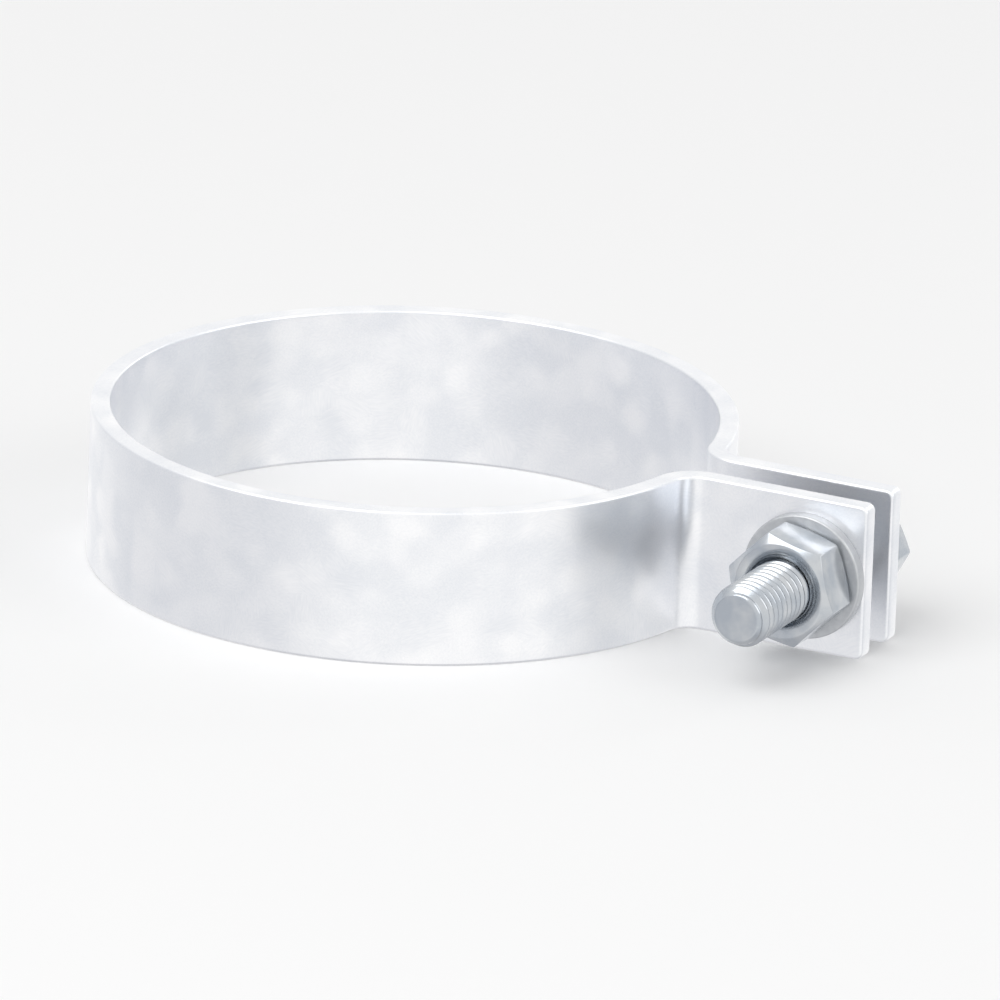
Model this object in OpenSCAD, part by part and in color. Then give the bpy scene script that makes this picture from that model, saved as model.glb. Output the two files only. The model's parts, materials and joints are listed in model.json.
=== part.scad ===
// Sign post clamp: one steel strip folded into a round band with two flat ears,
// which a bolt, a washer and a nut draw together.
// Millimetres. Z is the band's axis, the ears point along +X, and the bolt lies
// along Y with its head at +Y. The origin is on the band's axis at mid-height.

/* [Band] */
// Outside diameter that the closed band is made to grip
post_d = 76.1; // [60:0.1:115]
// Radial clearance of the closed band round that diameter
post_clearance = 0.05; // [0:0.01:0.2]

/* [Strip] */
// Thickness of the strip
strip_t = 2.5; // [1.5:0.1:4]
// Width of the strip, which is the height of the clamp
strip_w = 20; // [17:1:40]

/* [Ears] */
// Gap between the ears when the bolt is tight
ear_gap = 5; // [3:0.5:9]
// Inside radius of the bend that turns the band into each ear
bend_r = 3; // [1:0.5:6]
// Flat length of each ear, from the end of its bend to its tip
ear_len = 22.2; // [18:0.1:40]
// Distance from the centre of the bolt hole to the tip of the ear
hole_to_tip = 8; // [7:0.5:10]
// Rounding of the two outer corners of each ear
corner_r = 1; // [0.5:0.5:3]
// Radial clearance of the bolt in the holes of the ears
hole_clearance = 0.5; // [0.1:0.1:1]

/* [Bolt] */
// Diameter of the bolt over its thread
bolt_d = 8; // [6:0.5:9]
// Length of the bolt under its head
bolt_len = 30; // [25:1:50]
// Chamfer at the tip of the bolt, along its axis
tip_chamfer = 1; // [0.5:0.1:1.5]
// Size across the flats of the bolt's head
head_af = 13; // [12:0.5:17]
// Height of the bolt's head, bearing face included
head_h = 5.3; // [4:0.1:8]
// Height of the round bearing face under the head
bearing_h = 0.4; // [0.2:0.1:0.8]

/* [Washer] */
// Outside diameter of the washer
washer_d = 16; // [13:0.5:17]
// Thickness of the washer
washer_t = 1.6; // [1:0.1:2.5]
// Radial clearance of the bolt in the washer
washer_clearance = 0.2; // [0.1:0.05:0.5]

/* [Nut] */
// Size across the flats of the nut
nut_af = 13; // [12:0.5:17]
// Height of the nut
nut_h = 6.5; // [4:0.1:10]
// Angle that the tightened nut came to rest at, from a corner along X
nut_turn = 14; // [0:1:59]
// Radial play between the bolt and the nut's bore
thread_play = 0.05; // [0.02:0.01:0.1]

/* [Hex forging] */
// Distance that a hexagon's flat end and its bearing face lie inside its flats
face_inset = 0.5; // [0.2:0.1:0.9]
// Angle of the chamfer that takes the corners off a hexagon's ends
hex_chamfer_angle = 30; // [15:1:35]
// Depth of the countersink at each end of the nut's bore
countersink = 0.6; // [0.2:0.1:1]

/* [Hidden] */
$fn = 128;

// Radii of the two faces of the band
band_in_r = post_d / 2 + post_clearance;
band_out_r = band_in_r + strip_t;
// Distance from the clamp's middle plane to the outer face of each ear
ear_out_y = ear_gap / 2 + strip_t;
// Centre of each bend, where its faces meet the band's and the ear's smoothly.
// It is rounded down to a micron, so the faces of bend and band cross.
micron = 0.001;
bend_y = ear_out_y + bend_r;
bend_x = micron * floor(sqrt(pow(band_out_r + bend_r, 2) - pow(bend_y, 2)) / micron);
ear_tip_x = bend_x + ear_len;
hole_x = ear_tip_x - hole_to_tip;
hole_d = bolt_d + 2 * hole_clearance;
// Length past a face by which a cutting tool runs clear of it
cut = 1;

// Everything that lies within one face of the folded strip, seen along its axis.
// The depth is counted outward from the band's inner face.
module within_face(depth, past_tip = 0) {
    half_gap = ear_gap / 2 + depth;
    difference() {
        union() {
            circle(band_in_r + depth);
            translate([0, -half_gap]) square([ear_tip_x + past_tip, 2 * half_gap]);
            polygon([[0, 0], [bend_x, -bend_y], [bend_x, bend_y]]);
        }
        for (side = [-1, 1])
            translate([bend_x, side * bend_y]) circle(bend_r + strip_t - depth);
    }
}

// What rounding takes off the upper outer corner of both ears
module corner_waste() {
    translate([ear_tip_x - corner_r, ear_out_y + cut, strip_w / 2 - corner_r])
        rotate([90, 0, 0]) linear_extrude(2 * (ear_out_y + cut)) difference() {
            square(corner_r + cut);
            circle(corner_r);
        }
}

// Hexagon standing on Z = 0, its corners chamfered at the top and, when both
// ends are free, at the bottom too
module hexagon(af, height, both_ends = false) {
    face_r = af / 2 - face_inset;
    corner = af / 2 / cos(30);
    reach = corner + cut;
    drop = (reach - face_r) * tan(hex_chamfer_angle);
    intersection() {
        cylinder(h = height, r = corner, $fn = 6);
        rotate_extrude() polygon([
            [0, 0], [both_ends ? face_r : reach, 0],
            [reach, both_ends ? drop : 0],
            [reach, height - drop], [face_r, height], [0, height],
        ]);
    }
}

// Places a piece on the bolt's axis, its own +Z pointing along +Y, from Y = y
module on_bolt_axis(y) {
    translate([hole_x, y, 0]) rotate([-90, 0, 0]) children();
}

// Folded strip: the round band, two bends and two drilled ears
module strap() {
    color("gainsboro") difference() {
        linear_extrude(strip_w, center = true) difference() {
            within_face(strip_t);
            within_face(0, past_tip = cut);
        }
        on_bolt_axis(-ear_out_y - cut) cylinder(h = 2 * (ear_out_y + cut), d = hole_d);
        corner_waste();
        mirror([0, 0, 1]) corner_waste();
    }
}

// Hexagon bolt: its bearing face sits on the rear ear, its tip points to -Y
module bolt() {
    seat_y = ear_out_y;
    color("darkgray") union() {
        on_bolt_axis(seat_y - bolt_len) {
            cylinder(h = tip_chamfer, d1 = bolt_d - 2 * tip_chamfer, d2 = bolt_d);
            translate([0, 0, tip_chamfer])
                cylinder(h = bolt_len - tip_chamfer, d = bolt_d);
        }
        on_bolt_axis(seat_y) cylinder(h = bearing_h, r = head_af / 2 - face_inset);
        on_bolt_axis(seat_y + bearing_h) hexagon(head_af, head_h - bearing_h);
    }
}

// Plain washer against the front ear
module washer() {
    color("silver") on_bolt_axis(-ear_out_y - washer_t) difference() {
        cylinder(h = washer_t, d = washer_d);
        translate([0, 0, -cut])
            cylinder(h = washer_t + 2 * cut, d = bolt_d + 2 * washer_clearance);
    }
}

// Hexagon nut against the washer, countersunk at both ends of its bore
module nut() {
    bore_r = bolt_d / 2 + thread_play;
    color("darkgray") on_bolt_axis(-ear_out_y - washer_t - nut_h) difference() {
        rotate([0, 0, nut_turn]) hexagon(nut_af, nut_h, both_ends = true);
        translate([0, 0, -cut]) cylinder(h = nut_h + 2 * cut, r = bore_r);
        cylinder(h = countersink, r1 = bore_r + countersink, r2 = bore_r);
        translate([0, 0, nut_h - countersink])
            cylinder(h = countersink, r1 = bore_r, r2 = bore_r + countersink);
    }
}

strap();
bolt();
washer();
nut();
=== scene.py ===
# Dresses the sign post clamp for its render. Each piece is a closed surface, worked out
# on a grid in the place of its solid. All lengths are in metres.
import json
import bmesh
import bpy
import numpy as np
from mathutils import Matrix, Vector


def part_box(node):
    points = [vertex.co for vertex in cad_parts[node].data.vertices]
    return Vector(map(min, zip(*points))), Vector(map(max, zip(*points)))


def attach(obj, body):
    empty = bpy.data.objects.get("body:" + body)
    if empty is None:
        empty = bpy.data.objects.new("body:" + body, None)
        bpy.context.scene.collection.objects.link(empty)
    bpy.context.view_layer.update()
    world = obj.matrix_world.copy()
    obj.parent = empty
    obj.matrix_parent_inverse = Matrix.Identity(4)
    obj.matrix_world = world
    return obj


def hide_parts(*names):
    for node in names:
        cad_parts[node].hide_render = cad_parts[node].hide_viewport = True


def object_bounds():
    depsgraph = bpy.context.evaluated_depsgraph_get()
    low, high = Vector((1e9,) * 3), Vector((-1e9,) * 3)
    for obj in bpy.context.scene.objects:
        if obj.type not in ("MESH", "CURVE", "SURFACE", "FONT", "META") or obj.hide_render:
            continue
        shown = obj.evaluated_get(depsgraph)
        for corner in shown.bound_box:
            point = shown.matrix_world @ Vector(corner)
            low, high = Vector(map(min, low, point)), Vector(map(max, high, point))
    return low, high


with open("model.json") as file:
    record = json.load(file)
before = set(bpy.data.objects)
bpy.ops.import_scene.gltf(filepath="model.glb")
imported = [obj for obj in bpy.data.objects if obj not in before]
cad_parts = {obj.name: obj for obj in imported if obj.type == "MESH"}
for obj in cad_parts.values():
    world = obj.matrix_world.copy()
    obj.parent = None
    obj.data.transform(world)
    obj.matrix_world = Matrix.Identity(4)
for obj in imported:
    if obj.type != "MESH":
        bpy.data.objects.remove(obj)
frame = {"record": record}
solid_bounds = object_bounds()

# Folded strap. One length of mild-steel flat bar, 20 x 2.5 mm, sheared and punched
# near both ends, folded into a round band with two ears, and then dipped in molten
# zinc, which rounds every edge. The bolt draws its ears to 5 mm apart.
MM = 0.001
mounts = {mount["name"]: mount for mount in frame["record"]["mounts"]}
strap_low, strap_high = (np.array(corner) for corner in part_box("strap"))
band_in_r = mounts["post_band"]["dims"]["r_mm"] * MM
strip_t = strap_high[1] - band_in_r
strip_w = strap_high[2] - strap_low[2]
ear_gap = 5 * MM
bend_r = 3 * MM
hole_x = mounts["panel_slot"]["pos_m"][0]
hole_r = 4.5 * MM
corner_r = 1 * MM
edge_r = 0.35 * MM

# The band's middle line, its joint with each bend, and the runs along the blank
band_mid_r = band_in_r + strip_t / 2
bend_mid_r = bend_r + strip_t / 2
bend_y = ear_gap / 2 + strip_t + bend_r
joint_angle = np.arcsin(bend_y / (band_in_r + strip_t + bend_r))
bend_x = bend_y / np.tan(joint_angle)
band_run = band_mid_r * (np.pi - joint_angle)
bend_run = bend_mid_r * (np.pi / 2 - joint_angle)
tip_run = band_run + bend_run + strap_high[0] - bend_x
hole_to_tip = strap_high[0] - hole_x
hole_run = tip_run - hole_to_tip
patch_run = hole_run - hole_to_tip


def folded(along, across, depth):
    """Carries points of the flat blank to the folded strip.

    along is the length from the middle of the band, minus towards the front ear,
    across is the height, and depth counts outward from the face that grips. The
    blank's middle line wraps round the band, then turns the other way through a
    bend, and then runs straight along the ear.
    """
    run = np.abs(along)
    wrap = np.pi - run / band_mid_r
    swing = np.pi + joint_angle + (run - band_run) / bend_mid_r
    band_reach = band_in_r + depth
    bend_reach = bend_r + strip_t - depth
    in_band = run <= band_run
    in_bend = run <= band_run + bend_run
    x = np.where(in_bend, bend_x + bend_reach * np.cos(swing), bend_x + run - band_run - bend_run)
    y = np.where(in_bend, bend_y + bend_reach * np.sin(swing), ear_gap / 2 + depth)
    x = np.where(in_band, band_reach * np.cos(wrap), x)
    y = np.where(in_band, band_reach * np.sin(wrap), y)
    return np.stack([x, np.sign(along) * y, across + 0 * run], axis=-1)


def chain(*stretches):
    """Joins rows of numbers end to end, leaving out the first of each row after the first."""
    return np.concatenate([stretches[0]] + [stretch[1:] for stretch in stretches[1:]])


merge_distance = 0.0005 * MM


def make_piece(name, patches, material):
    """Makes one closed mesh out of patches, each a grid of points (row, column, xyz).

    Every four neighbouring points of a grid are one face. Points that coincide are
    merged, within a patch and between patches, and the faces are turned outward.
    """
    points = np.concatenate([patch.reshape(-1, 3) for patch in patches])
    faces = []
    first = 0
    for rows, columns in (patch.shape[:2] for patch in patches):
        grid = first + np.arange(rows * columns).reshape(rows, columns)
        ring = (grid[:-1, :-1], grid[1:, :-1], grid[1:, 1:], grid[:-1, 1:])
        faces.append(np.stack(ring, axis=-1).reshape(-1, 4))
        first += rows * columns
    mesh = bpy.data.meshes.new(name)
    mesh.from_pydata(points, [], np.concatenate(faces))
    merged = bmesh.new()
    merged.from_mesh(mesh)
    bmesh.ops.remove_doubles(merged, verts=merged.verts, dist=merge_distance)
    bmesh.ops.recalc_face_normals(merged, faces=merged.faces)
    merged.to_mesh(mesh)
    merged.free()
    mesh.shade_smooth()
    mesh.materials.append(material)
    piece = bpy.data.objects.new(name, mesh)
    bpy.context.scene.collection.objects.link(piece)
    return piece


def linear(shade):
    """Turns an sRGB hex colour into linear red, green, blue and alpha."""
    part = np.array([int(shade[i:i + 2], 16) for i in (1, 3, 5)]) / 255
    lit = np.where(part > 0.04045, ((part + 0.055) / 1.055) ** 2.4, part / 12.92)
    return (*lit.tolist(), 1.0)


def add(tree, kind, inputs=(), **settings):
    """Adds a node, fills in its settings, and sets or links each of its inputs."""
    made = tree.nodes.new(kind)
    for name, value in settings.items():
        setattr(made, name, value)
    for name, value in dict(inputs).items():
        if isinstance(value, bpy.types.NodeSocket):
            tree.links.new(value, made.inputs[name])
        else:
            made.inputs[name].default_value = value
    return made


def new_material(name):
    """A material with an empty node tree, and that tree."""
    material = bpy.data.materials.new(name)
    material.use_nodes = True
    material.node_tree.nodes.clear()
    return material, material.node_tree


def hot_dip_galvanised_steel():
    """Hot-dip galvanised mild steel: a frozen skin of zinc crystals a few millimetres
    across, which run into one another. Each lies at its own slight tilt and has its
    own shade, gloss and direction of fine fronds. It gives the eye a nearly white,
    cool satin metal with faint soft spots that come and go as it turns.
    """
    crystal, warp = 3.6 * MM, 0.16
    frond_width, frond_length = 0.22 * MM, 1.8 * MM
    frond_turn = 2.0
    cloud = 9 * MM
    grit = 0.3 * MM
    tilt = 0.045
    middle = (0.5, 0.5, 0.5)
    dull, bright = 0.3, 0.85
    dull_roughness, bright_roughness = 0.37, 0.29
    material, tree = new_material("hot_dip_galvanised_steel")
    place = add(tree, "ShaderNodeTexCoord").outputs["Object"]

    # The crystals, drawn with wavy borders: once sharp, for the direction that each one
    # grew its fronds in, and once running into one another, for shade and tilt
    drift = add(tree, "ShaderNodeTexNoise",
                {"Vector": place, "Scale": 2.5 / crystal, "Detail": 3.0})
    shift = add(tree, "ShaderNodeVectorMath",
                {0: drift.outputs["Color"], "Scale": warp * crystal}, operation="SCALE")
    there = add(tree, "ShaderNodeVectorMath", {0: place, 1: shift.outputs[0]}, operation="ADD")
    sharp = add(tree, "ShaderNodeTexVoronoi", {"Vector": there.outputs[0], "Scale": 1 / crystal})
    pooled = add(tree, "ShaderNodeTexVoronoi",
                 {"Vector": there.outputs[0], "Scale": 1 / crystal, "Smoothness": 1.0},
                 feature="SMOOTH_F1")
    own = add(tree, "ShaderNodeSeparateColor", {"Color": pooled.outputs["Color"]})
    off_middle = add(tree, "ShaderNodeVectorMath",
                     {0: pooled.outputs["Color"], 1: middle}, operation="SUBTRACT")
    axis = add(tree, "ShaderNodeVectorMath",
               {0: sharp.outputs["Color"], 1: middle}, operation="SUBTRACT")

    # The fronds, long thin noise turned its own way in each crystal
    turned_place = add(tree, "ShaderNodeVectorRotate",
                       {"Vector": place, "Axis": axis.outputs[0], "Angle": frond_turn},
                       rotation_type="AXIS_ANGLE")
    stretch = (1 / frond_width, 1 / frond_width, 1 / frond_length)
    stretched = add(tree, "ShaderNodeVectorMath",
                    {0: turned_place.outputs[0], 1: stretch}, operation="MULTIPLY")
    fronds = add(tree, "ShaderNodeTexNoise",
                 {"Vector": stretched.outputs[0], "Scale": 1.0, "Detail": 3.0})
    clouds = add(tree, "ShaderNodeTexNoise",
                 {"Vector": place, "Scale": 1 / cloud, "Detail": 4.0, "Roughness": 0.6})
    grain = add(tree, "ShaderNodeTexNoise", {"Vector": place, "Scale": 1 / grit, "Detail": 3.0})

    # Shade from 0.5 of the crystal's own tone, 0.6 of the fronds and 0.3 of the clouds,
    # less 0.115, which brings its mean between dull and bright. The brighter the zinc,
    # the glossier it is.
    shade = add(tree, "ShaderNodeMath",
                {0: own.outputs["Red"], 1: 0.5, 2: -0.115}, operation="MULTIPLY_ADD")
    shade = add(tree, "ShaderNodeMath",
                {0: fronds.outputs["Fac"], 1: 0.6, 2: shade.outputs[0]}, operation="MULTIPLY_ADD")
    shade = add(tree, "ShaderNodeMath",
                {0: clouds.outputs["Fac"], 1: 0.3, 2: shade.outputs[0]}, operation="MULTIPLY_ADD")
    colour = add(tree, "ShaderNodeValToRGB", {"Fac": shade.outputs[0]})
    tones = ((dull, "#EDEFF3"), (bright, "#FEFEFF"))
    for stop, (position, tone) in zip(colour.color_ramp.elements, tones):
        stop.position = position
        stop.color = linear(tone)
    gloss = add(tree, "ShaderNodeMapRange",
                {"Value": shade.outputs[0], "From Min": dull, "From Max": bright,
                 "To Min": dull_roughness, "To Max": bright_roughness})

    # Each crystal's tilt, then grit and fronds as relief
    normal = add(tree, "ShaderNodeNewGeometry").outputs["Normal"]
    lean = add(tree, "ShaderNodeVectorMath",
               {0: off_middle.outputs[0], "Scale": tilt}, operation="SCALE")
    facing = add(tree, "ShaderNodeVectorMath", {0: normal, 1: lean.outputs[0]}, operation="ADD")
    facing = add(tree, "ShaderNodeVectorMath", {0: facing.outputs[0]}, operation="NORMALIZE")
    relief = add(tree, "ShaderNodeBump",
                 {"Height": grain.outputs["Fac"], "Strength": 0.07, "Distance": 0.04 * MM,
                  "Normal": facing.outputs[0]})
    relief = add(tree, "ShaderNodeBump",
                 {"Height": fronds.outputs["Fac"], "Strength": 0.15, "Distance": 0.02 * MM,
                  "Normal": relief.outputs[0]})
    metal = add(tree, "ShaderNodeBsdfPrincipled",
                {"Base Color": colour.outputs["Color"], "Metallic": 1.0,
                 "Roughness": gloss.outputs[0], "Normal": relief.outputs[0]})
    add(tree, "ShaderNodeOutputMaterial", {"Surface": metal.outputs[0]})
    return material


# Rounded edge between the two broad faces, as distances beyond the face and depths
round_points, wall_points = 5, 4
quarter = np.linspace(0, np.pi / 2, round_points)
wall = np.linspace(strip_t - edge_r, edge_r, wall_points)
wall_out = np.full_like(wall, edge_r)
lip_out = chain(edge_r * np.sin(quarter), wall_out, edge_r * np.cos(quarter))
lip_depth = chain(strip_t - edge_r + edge_r * np.cos(quarter), wall, edge_r - edge_r * np.sin(quarter))

# The strip's own section, once round from the lower edge of its outer face, with a
# point close to each rounded edge that keeps the flat face flat
point_gap = 0.5 * MM
support = 0.12 * MM
flat_half = strip_w / 2 - edge_r
face_half = np.linspace(0, flat_half - support, round((flat_half - support) / point_gap))
face_across = np.concatenate([[-flat_half], -face_half[:0:-1], face_half, [flat_half]])
section_across = chain(face_across, flat_half + lip_out, face_across[::-1], -flat_half - lip_out[::-1])
section_depth = chain(strip_t + 0 * face_across, lip_depth, 0 * face_across, lip_depth[::-1])

# Stations along the blank between the two drilled ends: close in the bends
band_points, bend_points, ear_points = 118, 19, 8
band_stations = np.linspace(0, band_run, band_points)
bend_stations = np.linspace(band_run, band_run + bend_run, bend_points)
ear_stations = np.linspace(band_run + bend_run, patch_run, ear_points)
half_stations = chain(band_stations, bend_stations, ear_stations)
stations = np.concatenate([-half_stations[:0:-1], half_stations])
strap_patches = [folded(stations[:, None], section_across[None, :], section_depth[None, :])]

# Face boundary round a hole: the upper edge, a rounded corner, the tip, the other
# corner and the lower edge, each point with its outward direction, and then the
# line where the drilled end joins the plain strip
side_points, corner_points, tip_points = 31, 7, 37
side_out = np.linspace(-hole_to_tip, hole_to_tip - corner_r, side_points)
corner_turn = np.linspace(np.pi / 2, 0, corner_points)
tip_half = strip_w / 2 - corner_r
tip_across = np.linspace(tip_half, -tip_half, tip_points)
corner_out = hole_to_tip - corner_r + (corner_r - edge_r) * np.cos(corner_turn)
corner_up = tip_half + (corner_r - edge_r) * np.sin(corner_turn)
side_up = np.full_like(side_out, flat_half)
side_turn = np.full_like(side_out, np.pi / 2)
tip_out = np.full_like(tip_across, hole_to_tip - edge_r)
rim_out = chain(side_out, corner_out, tip_out, corner_out[::-1], side_out[::-1])
rim_up = chain(side_up, corner_up, tip_across, -corner_up[::-1], -side_up)
rim_turn = chain(side_turn, corner_turn, 0 * tip_across, -corner_turn[::-1], -side_turn)
loop_out = chain(rim_out, 0 * face_across - hole_to_tip)
loop_up = chain(rim_up, face_across)
loop_turn = np.arctan2(loop_up, loop_out)

# The face between the hole's rounded edge and that boundary, as shares of the way
spread = np.array([0, 0.02, 0.1, 0.22, 0.38, 0.56, 0.74, 0.89, 0.98, 1])[:, None]
hole_face_r = hole_r + edge_r
face_out = (1 - spread) * hole_face_r * np.cos(loop_turn) + spread * loop_out
face_up = (1 - spread) * hole_face_r * np.sin(loop_turn) + spread * loop_up
bore_reach = (hole_face_r - lip_out)[:, None]
bore_out = bore_reach * np.cos(loop_turn)
bore_up = bore_reach * np.sin(loop_turn)
edge_out = rim_out + lip_out[:, None] * np.cos(rim_turn)
edge_up = rim_up + lip_out[:, None] * np.sin(rim_turn)
for side in (-1, 1):
    for out, up, depth in (
        (face_out, face_up, strip_t),
        (face_out, face_up, 0.0),
        (bore_out, bore_up, lip_depth[:, None]),
        (edge_out, edge_up, lip_depth[:, None]),
    ):
        strap_patches.append(folded(side * (hole_run + out), up, depth + 0 * out))

strap = make_piece("galvanised_strap", strap_patches, hot_dip_galvanised_steel())
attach(strap, "root")
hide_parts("strap")

# Hexagon bolt. M8 x 30, headed cold from steel wire and threaded by rolling almost up
# to its head, then zinc plated bright. It comes in from the rear, and its round
# bearing face sits on the rear ear.
bolt_low, bolt_high = (np.array(corner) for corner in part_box("bolt"))
bolt_r = 4 * MM
bolt_len = 30 * MM
head_af = 13 * MM
bearing_h = 0.4 * MM
face_inset = 0.5 * MM
tip_chamfer = 1 * MM
hex_chamfer_angle = np.radians(30)
pitch = 1.25 * MM
thread_depth = 0.767 * MM
plain_len = 2.2 * MM
run_out = 2 * pitch
tip_y = bolt_low[1]
seat_y = tip_y + bolt_len
head_h = bolt_high[1] - seat_y
hex_face_r = head_af / 2 - face_inset
corner_power = 80


def on_bolt_axis(radius, angle, height):
    """Points about the bolt's axis: the radius, the angle from +X towards -Z, and the
    height along +Y from the tip of the bolt.
    """
    across, up = radius * np.cos(angle), -radius * np.sin(angle)
    return np.stack([hole_x + across, tip_y + height + 0 * angle, up], axis=-1)


def hexagon_radius(angle, across_flats):
    """Radius of a hexagon with slightly rounded corners, one of them at angle 0.

    Each pair of flats holds the point's projection to half the width, and the three
    projections are joined by a high power mean in place of their largest value.
    """
    flats = np.abs(np.cos(angle[..., None] + np.radians([30, 90, 150])))
    return across_flats / 2 / (flats ** corner_power).sum(axis=-1) ** (1 / corner_power)


def rounded(corners, eases, steps=5):
    """A profile with its corners rounded, as an array (point, column, radius and height).

    Each corner is cut back by its ease along both of its sides and bridged by the
    quadratic curve (1 - t)^2 A + 2 t (1 - t) P + t^2 B.
    """
    shape = np.broadcast_shapes(*(np.shape(value) for corner in corners for value in corner), (1,))
    line = np.array([[np.broadcast_to(value, shape) for value in corner] for corner in corners])
    line = np.moveaxis(line, 1, -1)
    t = np.linspace(0, 1, steps)[:, None, None]
    points = [line[:1]]
    for before, here, after, ease in zip(line[:-2], line[1:-1], line[2:], eases):
        back, ahead = before - here, after - here
        start = here + back * ease / np.linalg.norm(back, axis=-1, keepdims=True)
        end = here + ahead * ease / np.linalg.norm(ahead, axis=-1, keepdims=True)
        points.append((1 - t) ** 2 * start + 2 * t * (1 - t) * here + t ** 2 * end)
    return np.concatenate(points + [line[-1:]])


def turned(profile, angle):
    """Carries a profile of radii and heights round the bolt's axis, to every angle."""
    return on_bolt_axis(profile[..., 0], angle[None, :], profile[..., 1])


def hexagon_chamfer(radius, end, outward):
    """Height at which an end's chamfer meets a hexagon's side, for each radius.

    It lies inside the end by the radius past the end's round face times the slope of
    the chamfer. outward is 1 where the end faces +Y, and -1 where it faces -Y.
    """
    return end - outward * (radius - hex_face_r) * np.tan(hex_chamfer_angle)


# One turn's columns, which gather at the six corners of a hexagon
sweep_points = 25
gather = 1.8
tiny = 1e-9
sweep = np.linspace(-1, 1, sweep_points)
sector = np.radians(30) * np.sign(sweep) * np.abs(sweep) ** gather
angles = chain(*(sector + np.radians(60) * corner for corner in range(7)))
angles = angles[(angles > -tiny) & (angles < 2 * np.pi + tiny)]

# The thread's section over one pitch from the middle of a crest: a flat crest, a
# flank of 60 degrees between threads, and a rounded root
knot_phase = np.array([0, 1 / 16, 0.18, 0.30, 5 / 12, 0.5, 7 / 12, 0.70, 0.82, 15 / 16])
knot_share = np.interp(knot_phase, [0, 1 / 16, 5 / 12, 0.5, 7 / 12, 15 / 16], [0, 0, 0.94, 1, 0.94, 0])


def thread_radius(angle, height):
    """Radius of the bolt's right-hand thread at an angle and a height above the tip.

    The phase is the height in pitches less the angle in turns, and the radius dips
    from the crest by the section's share of the depth. The depth fades to nothing
    before the plain length under the head.
    """
    phase = (height / pitch - angle / (2 * np.pi)) % 1
    share = np.interp(phase, np.append(knot_phase, 1), np.append(knot_share, 0))
    left = np.clip((bolt_len - plain_len - height) / run_out, 0, 1)
    return bolt_r - thread_depth * share * left ** 0.5


def helical_rows(angle, start, end):
    """Heights of grid rows that follow the thread between two heights.

    A row lies at a knot of the thread's section, climbs by one pitch for each turn,
    and is held between the start and the end.
    """
    first, last = np.floor(start / pitch) - 2, np.ceil(end / pitch) + 1
    phases = (np.arange(first, last)[:, None] + knot_phase).ravel()
    return np.clip(pitch * (phases[:, None] + angle / (2 * np.pi)), start, end)


def bright_zinc_plated_steel():
    """Bright zinc plate on cold-forged steel: a thin, smooth, faintly blue mirror over
    the fine marks that the dies leave. It gives the eye a mid-grey metal with sharp
    streaks of light beside dark ones.
    """
    haze = 3 * MM
    die_mark = 0.15 * MM
    dull, bright = 0.35, 0.65
    dull_roughness, bright_roughness = 0.27, 0.17
    material, tree = new_material("bright_zinc_plated_steel")
    place = add(tree, "ShaderNodeTexCoord").outputs["Object"]
    patches = add(tree, "ShaderNodeTexNoise", {"Vector": place, "Scale": 1 / haze, "Detail": 4.0})
    marks = add(tree, "ShaderNodeTexNoise", {"Vector": place, "Scale": 1 / die_mark, "Detail": 2.0})
    colour = add(tree, "ShaderNodeValToRGB", {"Fac": patches.outputs["Fac"]})
    tones = ((dull, "#B8BEC5"), (bright, "#CBCED1"))
    for stop, (position, tone) in zip(colour.color_ramp.elements, tones):
        stop.position = position
        stop.color = linear(tone)
    gloss = add(tree, "ShaderNodeMapRange",
                {"Value": patches.outputs["Fac"], "From Min": dull, "From Max": bright,
                 "To Min": dull_roughness, "To Max": bright_roughness})
    relief = add(tree, "ShaderNodeBump",
                 {"Height": marks.outputs["Fac"], "Strength": 0.08, "Distance": 0.03 * MM})
    metal = add(tree, "ShaderNodeBsdfPrincipled",
                {"Base Color": colour.outputs["Color"], "Metallic": 1.0,
                 "Roughness": gloss.outputs[0], "Normal": relief.outputs[0]})
    add(tree, "ShaderNodeOutputMaterial", {"Surface": metal.outputs[0]})
    return material


# Tip disc and threaded shank, whose crests the tip's chamfer cuts down to the disc
disc_r = bolt_r - tip_chamfer
tip_disc = np.array([0, 0.3, 0.6, 0.9, 1])[:, None] * disc_r
shank_end = bolt_len - plain_len
rows = helical_rows(angles, 0, shank_end)
threaded = np.minimum(thread_radius(angles, rows), disc_r + rows)

# Plain neck, bearing face, hexagon and top of the head, up to the middle of its top
hexagon = hexagon_radius(angles, head_af)
head_top = bolt_len + head_h
crown = hexagon_chamfer(hexagon, head_top, 1)
head_profile = rounded(
    [
        (bolt_r, shank_end),
        (bolt_r, bolt_len),
        (hex_face_r, bolt_len),
        (hex_face_r, bolt_len + bearing_h),
        (hexagon, bolt_len + bearing_h),
        (hexagon, crown),
        (hex_face_r, head_top),
        (hex_face_r / 2, head_top),
        (0, head_top),
    ],
    [0.35 * MM, 0.08 * MM, 0.1 * MM, 0.15 * MM, 0.12 * MM, 0.2 * MM, 0.2 * MM],
)
bolt_patches = [
    turned(np.stack(np.broadcast_arrays(tip_disc, 0 * angles), axis=-1), angles),
    on_bolt_axis(threaded, angles[None, :], rows),
    turned(head_profile, angles),
]
zinc_plate = bright_zinc_plated_steel()
bolt = make_piece("hexagon_bolt", bolt_patches, zinc_plate)
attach(bolt, "root")
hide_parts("bolt")

# Plain washer. Stamped from steel sheet, so its edges are rounded where the die
# entered, and zinc plated to a satin grey. The nut presses it on the front ear.
washer_low, washer_high = (np.array(corner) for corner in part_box("washer"))
washer_r = (washer_high[0] - washer_low[0]) / 2
washer_hole_r = 4.2 * MM
washer_near = washer_high[1] - tip_y
washer_far = washer_low[1] - tip_y
washer_mid = (washer_hole_r + washer_r) / 2


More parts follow.
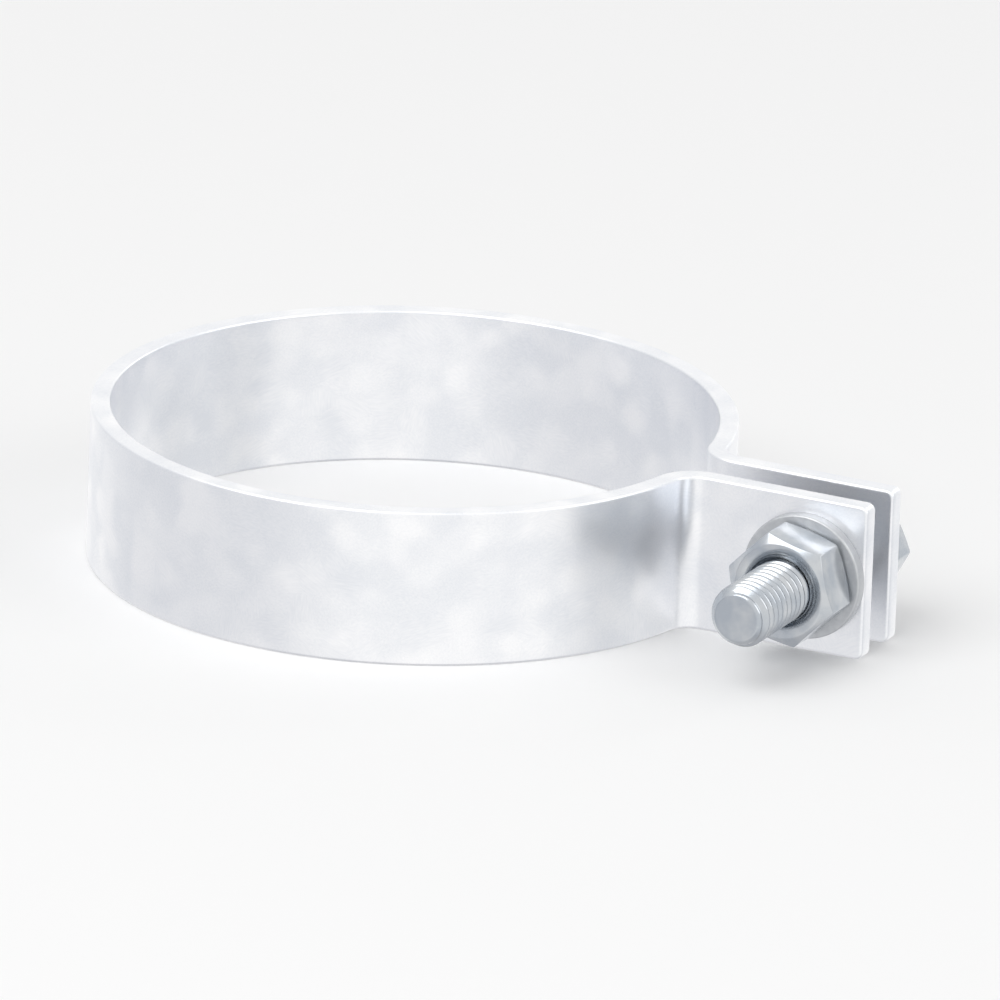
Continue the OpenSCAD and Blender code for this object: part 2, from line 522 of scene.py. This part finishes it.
def satin_zinc_plated_steel():
    """Zinc plate on tumbled sheet steel: dull, even and lightly scratched all ways.
    It gives the eye a flat mid grey with no streak of light.
    """
    dent = 0.4 * MM
    scratch = 1.5 * MM
    material, tree = new_material("satin_zinc_plated_steel")
    place = add(tree, "ShaderNodeTexCoord").outputs["Object"]
    grain = add(tree, "ShaderNodeTexNoise",
                {"Vector": place, "Scale": 1 / dent, "Detail": 5.0, "Roughness": 0.7})
    wear = add(tree, "ShaderNodeTexNoise",
               {"Vector": place, "Scale": 1 / scratch, "Detail": 3.0, "Distortion": 1.5})
    colour = add(tree, "ShaderNodeValToRGB", {"Fac": wear.outputs["Fac"]})
    tones = ((0.3, "#C0C2C5"), (0.7, "#CBCDCF"))
    for stop, (position, tone) in zip(colour.color_ramp.elements, tones):
        stop.position = position
        stop.color = linear(tone)
    gloss = add(tree, "ShaderNodeMapRange",
                {"Value": grain.outputs["Fac"], "To Min": 0.34, "To Max": 0.5})
    relief = add(tree, "ShaderNodeBump",
                 {"Height": grain.outputs["Fac"], "Strength": 0.15, "Distance": 0.03 * MM})
    metal = add(tree, "ShaderNodeBsdfPrincipled",
                {"Base Color": colour.outputs["Color"], "Metallic": 1.0,
                 "Roughness": gloss.outputs[0], "Normal": relief.outputs[0]})
    add(tree, "ShaderNodeOutputMaterial", {"Surface": metal.outputs[0]})
    return material


washer_profile = rounded(
    [
        (washer_mid, washer_far),
        (washer_r, washer_far),
        (washer_r, washer_near),
        (washer_hole_r, washer_near),
        (washer_hole_r, washer_far),
        (washer_mid, washer_far),
    ],
    [0.3 * MM, 0.1 * MM, 0.1 * MM, 0.25 * MM],
)
washer_profile = np.broadcast_to(washer_profile, (len(washer_profile), len(angles), 2))
washer = make_piece("plain_washer", [turned(washer_profile, angles)], satin_zinc_plated_steel())
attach(washer, "root")
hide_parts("washer")

# Hexagon nut. M8, cold-forged with a chamfer at both ends, tapped, and zinc plated
# bright like the bolt. Its thread runs in the bolt's with a little play.
nut_low, nut_high = (np.array(corner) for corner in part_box("nut"))
nut_af = 13 * MM
nut_turn = np.radians(14)
thread_play = 0.05 * MM
nut_minor_r = 3.33 * MM
countersink = 0.6 * MM
nut_far = nut_low[1] - tip_y
nut_near = nut_high[1] - tip_y
mouth_r = bolt_r + thread_play + countersink
nut_angles = angles + nut_turn
nut_hexagon = hexagon_radius(angles, nut_af)
nut_profile = rounded(
    [
        (mouth_r, nut_far),
        (hex_face_r, nut_far),
        (nut_hexagon, hexagon_chamfer(nut_hexagon, nut_far, -1)),
        (nut_hexagon, hexagon_chamfer(nut_hexagon, nut_near, 1)),
        (hex_face_r, nut_near),
        (mouth_r, nut_near),
    ],
    [0.2 * MM, 0.12 * MM, 0.12 * MM, 0.2 * MM],
)
rows = helical_rows(nut_angles, nut_far, nut_near)
tapped = np.maximum(thread_radius(nut_angles, rows) + thread_play, nut_minor_r)
mouth = mouth_r - np.minimum(rows - nut_far, nut_near - rows)
nut_patches = [
    turned(nut_profile, nut_angles),
    on_bolt_axis(np.maximum(tapped, mouth), nut_angles[None, :], rows),
]
nut = make_piece("hexagon_nut", nut_patches, zinc_plate)
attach(nut, "root")
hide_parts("nut")

# Floor and studio. A wide sheet of matt white paper under the clamp, one large soft
# lamp in front on the left and above, a weaker one on the right, a small weak one
# behind that draws a streak along the bolt, and pale air all round.
floor_half = 4.0
floor_z = strap_low[2]


def matt_white_paper():
    """Matt white paper: no gloss at all, so it gives only the clamp's soft shadow.
    Mirrored rays pass through it, and the light from below that they look for, so that
    metal shows the pale air below as well.
    """
    material, tree = new_material("matt_white_paper")
    paper = add(tree, "ShaderNodeBsdfDiffuse", {"Color": linear("#F6F6F6")})
    clear = add(tree, "ShaderNodeBsdfTransparent")
    path = add(tree, "ShaderNodeLightPath")
    passes = add(tree, "ShaderNodeMath",
                 {0: path.outputs["Is Glossy Ray"], 1: path.outputs["Is Shadow Ray"]},
                 operation="MAXIMUM")
    either = add(tree, "ShaderNodeMixShader",
                 {"Fac": passes.outputs[0], 1: paper.outputs[0], 2: clear.outputs[0]})
    add(tree, "ShaderNodeOutputMaterial", {"Surface": either.outputs[0]})
    return material


floor_mesh = bpy.data.meshes.new("paper_floor")
corners = floor_half * np.array([[-1, -1], [1, -1], [1, 1], [-1, 1]])
floor_mesh.from_pydata(np.column_stack([corners, np.full(4, floor_z)]), [], [[0, 1, 2, 3]])
floor_mesh.materials.append(matt_white_paper())
floor = bpy.data.objects.new("paper_floor", floor_mesh)
bpy.context.scene.collection.objects.link(floor)

clamp_middle = (Vector(solid_bounds[0]) + Vector(solid_bounds[1])) / 2


def towards(azimuth, elevation):
    """Unit vector of a line of sight: azimuth 0 looks along +Y, a larger one turns it
    towards -X, and elevation is how far it looks down. Both are in degrees.
    """
    turn, down = np.radians([azimuth, elevation])
    return Vector((-np.sin(turn) * np.cos(down), np.cos(turn) * np.cos(down), -np.sin(down)))


def looking(thing, azimuth, elevation, distance, lean=0.0):
    """Places a lamp or camera on a line of sight through the clamp's middle, at that
    distance from it, and turns it by the lean about the line.
    """
    sight = towards(azimuth, elevation)
    facing = sight.to_track_quat("-Z", "Y").to_matrix().to_4x4()
    place = Matrix.Translation(clamp_middle - sight * distance)
    thing.matrix_world = place @ facing @ Matrix.Rotation(np.radians(lean), 4, "Z")
    bpy.context.scene.collection.objects.link(thing)
    return thing


def soft_lamp(name, azimuth, elevation, side, power, distance=1.6):
    """A square lamp, of that side in metres and power in watts, that faces the clamp."""
    lamp = bpy.data.lights.new(name, "AREA")
    lamp.size = side
    lamp.energy = power
    return looking(bpy.data.objects.new(name, lamp), azimuth, elevation, distance)


soft_lamp("key_lamp", azimuth=-20, elevation=50, side=1.25, power=10.0)
soft_lamp("side_lamp", azimuth=95, elevation=30, side=1.0, power=3.6)
soft_lamp("streak_lamp", azimuth=160, elevation=25, side=0.35, power=0.8)

# The air is plain white to the camera, and evenly pale for matt surfaces. Metal
# mirrors white air too, with three soft grey cards in it, so that round forms show: a
# broad one on the left and two narrow ones on the right. Each card is a heading from
# +Y towards +X, the half angles where it is full and where it ends, and its tone. The
# cards fade upward into white, and straight below the air is a little darker.
cards = ((240, 15, 70, "#E3E4E7"), (82, 2, 15, "#D6D8DB"), (49, 3, 18, "#DADCDF"))
world = bpy.data.worlds.new("pale_air")
world.use_nodes = True
bpy.context.scene.world = world
air = world.node_tree
air.nodes.clear()
path = add(air, "ShaderNodeLightPath")
way = add(air, "ShaderNodeTexCoord").outputs["Generated"]
height = add(air, "ShaderNodeSeparateXYZ", {0: way}).outputs["Z"]
level = add(air, "ShaderNodeVectorMath", {0: way, 1: (1, 1, 0)}, operation="MULTIPLY")
level = add(air, "ShaderNodeVectorMath", {0: level.outputs[0]}, operation="NORMALIZE")
low = add(air, "ShaderNodeMapRange",
          {"Value": height, "From Min": 0.35, "From Max": 0.75, "To Min": 1.0, "To Max": 0.0},
          interpolation_type="SMOOTHSTEP")
tone = linear("#FFFFFF")
for card_heading, full, end, grey in cards:
    turn = np.radians(card_heading)
    near = add(air, "ShaderNodeVectorMath",
               {0: level.outputs[0], 1: (np.sin(turn), np.cos(turn), 0)}, operation="DOT_PRODUCT")
    edge, inside = np.cos(np.radians([end, full])).tolist()
    share = add(air, "ShaderNodeMapRange",
                {"Value": near.outputs["Value"], "From Min": edge, "From Max": inside},
                interpolation_type="SMOOTHSTEP")
    share = add(air, "ShaderNodeMath", {0: share.outputs[0], 1: low.outputs[0]}, operation="MULTIPLY")
    tone = add(air, "ShaderNodeMix",
               {0: share.outputs[0], 6: tone, 7: linear(grey)}, data_type="RGBA").outputs[2]
below = add(air, "ShaderNodeMapRange", {"Value": height, "From Min": -0.55, "From Max": -0.95},
            interpolation_type="SMOOTHSTEP")
tone = add(air, "ShaderNodeMix",
           {0: below.outputs[0], 6: tone, 7: linear("#CFD0D3")}, data_type="RGBA").outputs[2]
fill = add(air, "ShaderNodeBackground", {"Color": linear("#F7F7F7"), "Strength": 0.74})
shown = add(air, "ShaderNodeBackground", {"Color": linear("#FBFBFB"), "Strength": 1.0})
mirrored = add(air, "ShaderNodeBackground", {"Color": tone, "Strength": 1.0})
seen = add(air, "ShaderNodeMath",
           {0: path.outputs["Is Camera Ray"], 1: path.outputs["Is Transmission Ray"]},
           operation="MAXIMUM")
lighting = add(air, "ShaderNodeMixShader",
               {"Fac": path.outputs["Is Glossy Ray"], 1: fill.outputs[0], 2: mirrored.outputs[0]})
both = add(air, "ShaderNodeMixShader",
           {"Fac": seen.outputs[0], 1: lighting.outputs[0], 2: shown.outputs[0]})
add(air, "ShaderNodeOutputWorld", {"Surface": both.outputs[0]})

# Camera. It looks down on the clamp from the front and the right, as the photograph
# does, from 2.7 m through a very long lens, and leans a little. The picture is square
# and 125 mm wide at the clamp.
sight_azimuth = 25.6
sight_elevation = 18.9
sight_distance = 2.7
picture_lean = 2.1
picture_width = 125 * MM
camera_data = bpy.data.cameras.new("camera")
camera_data.sensor_width = 36.0
camera_data.lens = camera_data.sensor_width * sight_distance / picture_width
camera = looking(bpy.data.objects.new("camera", camera_data), sight_azimuth, sight_elevation,
                 sight_distance, picture_lean)
bpy.context.scene.camera = camera
bpy.context.scene.view_settings.view_transform = "Standard"
